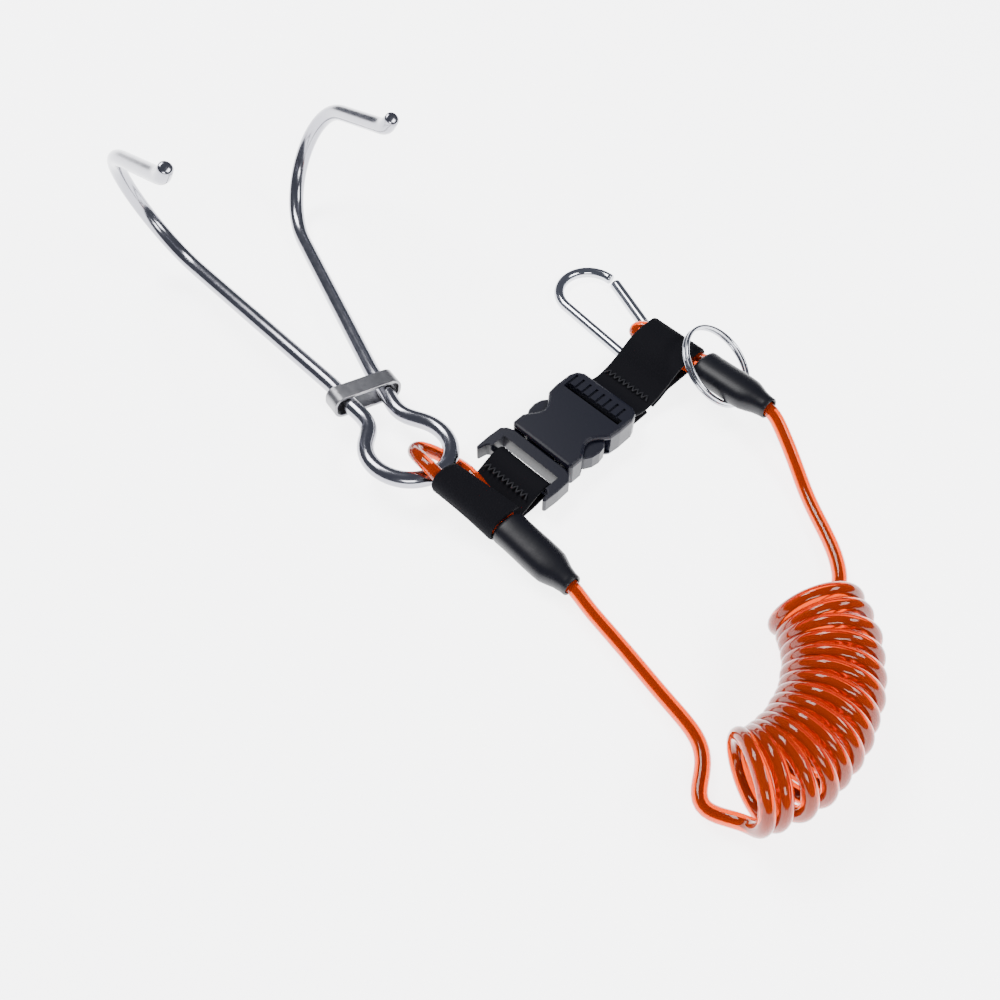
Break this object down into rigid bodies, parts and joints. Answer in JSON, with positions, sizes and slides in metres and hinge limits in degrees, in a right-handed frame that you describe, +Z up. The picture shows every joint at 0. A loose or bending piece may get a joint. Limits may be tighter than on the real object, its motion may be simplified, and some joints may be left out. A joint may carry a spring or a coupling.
{
  "type": "lip grip",
  "caption": "Sprung wire fish lip grip with a slide collar, joined by a coiled cord lanyard and a side-release buckle strap to a snap hook and a split ring.",
  "frame": {"origin": "centre of the side-release buckle, at its flat underside, which lies on the floor plane z = 0", "axes": "+Z up from the floor the object lies on; +X to the object's right and +Y to the back as it lies; the buckle's length runs along the +X +Y diagonal"},
  "size_m": [0.218, 0.241, 0.0701],
  "materials": {
    "polished_steel": "polished",
    "satin_steel": "satin",
    "buckle_plastic": "fine matte",
    "black_webbing": "woven",
    "black_thread": "twisted thread",
    "shrink_tube": "satin",
    "crimp_alloy": "satin",
    "orange_cord": "clear tinted gloss"
  },
  "bodies": {
    "strap_half": {"buckle_female_shell": "buckle_plastic", "right_strap": "black_webbing", "right_strap_stitching": "black_thread", "right_cord_loop": "orange_cord", "right_crimp": "crimp_alloy", "right_shrink_sleeve": "shrink_tube", "cord_run_right": "orange_cord", "cord_coil": "orange_cord", "cord_run_left": "orange_cord"},
    "buckle_male": {"buckle_male_base": "buckle_plastic", "left_strap": "black_webbing", "left_strap_stitching": "black_thread", "left_cord_loop": "orange_cord", "left_crimp": "crimp_alloy", "left_shrink_sleeve": "shrink_tube"},
    "left_tine": {"buckle_left_tine": "buckle_plastic"},
    "right_tine": {"buckle_right_tine": "buckle_plastic"},
    "gripper": {"wire_eye": "polished_steel"},
    "left_jaw": {"left_jaw_arm": "polished_steel"},
    "right_jaw": {"right_jaw_arm": "polished_steel"},
    "collar": {"slide_collar": "satin_steel"},
    "carabiner": {"carabiner_body": "polished_steel", "gate_pin": "polished_steel"},
    "gate": {"carabiner_gate": "polished_steel", "gate_spring": "polished_steel"},
    "ring": {"split_ring": "polished_steel"}
  },
  "joints": [
    {"name": "buckle_release", "type": "slide", "parent": "strap_half", "child": "buckle_male", "axis": [-0.7071, -0.7071, 0], "range_m": [0, 0.022], "deforming": ["buckle_left_tine", "buckle_right_tine", "cord_run_left"]},
    {"name": "left_tine_press", "type": "hinge", "parent": "buckle_male", "child": "left_tine", "pos_m": [-0.01032, -0.00099, 0.0045], "axis": [0, 0, -1], "range_deg": [0, 8], "stiffness_Nm_per_rad": 0.02},
    {"name": "right_tine_press", "type": "hinge", "parent": "buckle_male", "child": "right_tine", "pos_m": [-0.00099, -0.01032, 0.0045], "axis": [0, 0, 1], "range_deg": [0, 8], "stiffness_Nm_per_rad": 0.02},
    {"name": "gripper_swing", "type": "hinge", "parent": "buckle_male", "child": "gripper", "pos_m": [-0.03702, -0.01747, 0.00912], "axis": [0.8003, 0.5757, -0.1676], "range_deg": [0, 60]},
    {"name": "collar_slide", "type": "slide", "parent": "gripper", "child": "collar", "axis": [-0.5585, 0.829, -0.0275], "range_m": [0, 0.024]},
    {"name": "left_jaw_flex", "type": "hinge", "parent": "gripper", "child": "left_jaw", "pos_m": [-0.05961, 0.00558, 0.00924], "axis": [0.1232, 0.1157, 0.9856], "range_deg": [-8, 0]},
    {"name": "right_jaw_flex", "type": "hinge", "parent": "gripper", "child": "right_jaw", "pos_m": [-0.05057, 0.0116, 0.0074], "axis": [0.1232, 0.1157, 0.9856], "range_deg": [0, 8]},
    {"name": "carabiner_swing", "type": "hinge", "parent": "strap_half", "child": "carabiner", "pos_m": [0.0283, 0.0368, 0.002], "axis": [0, 0, 1], "range_deg": [-12, 12]},
    {"name": "gate_open", "type": "hinge", "parent": "carabiner", "child": "gate", "pos_m": [0.02957, 0.04869, 0.002], "axis": [0, 0, 1], "range_deg": [0, 28], "stiffness_Nm_per_rad": 0.01},
    {"name": "ring_turn", "type": "hinge", "parent": "strap_half", "child": "ring", "pos_m": [0.0491, 0.0248, 0.0089], "axis": [0.5646, -0.1418, 0.8131], "continuous": true}
  ],
  "couplings": [
    {"joint": "left_jaw_flex", "follows": "collar_slide", "rad_per_m": -5.2},
    {"joint": "right_jaw_flex", "follows": "collar_slide", "rad_per_m": 5.2}
  ]
}
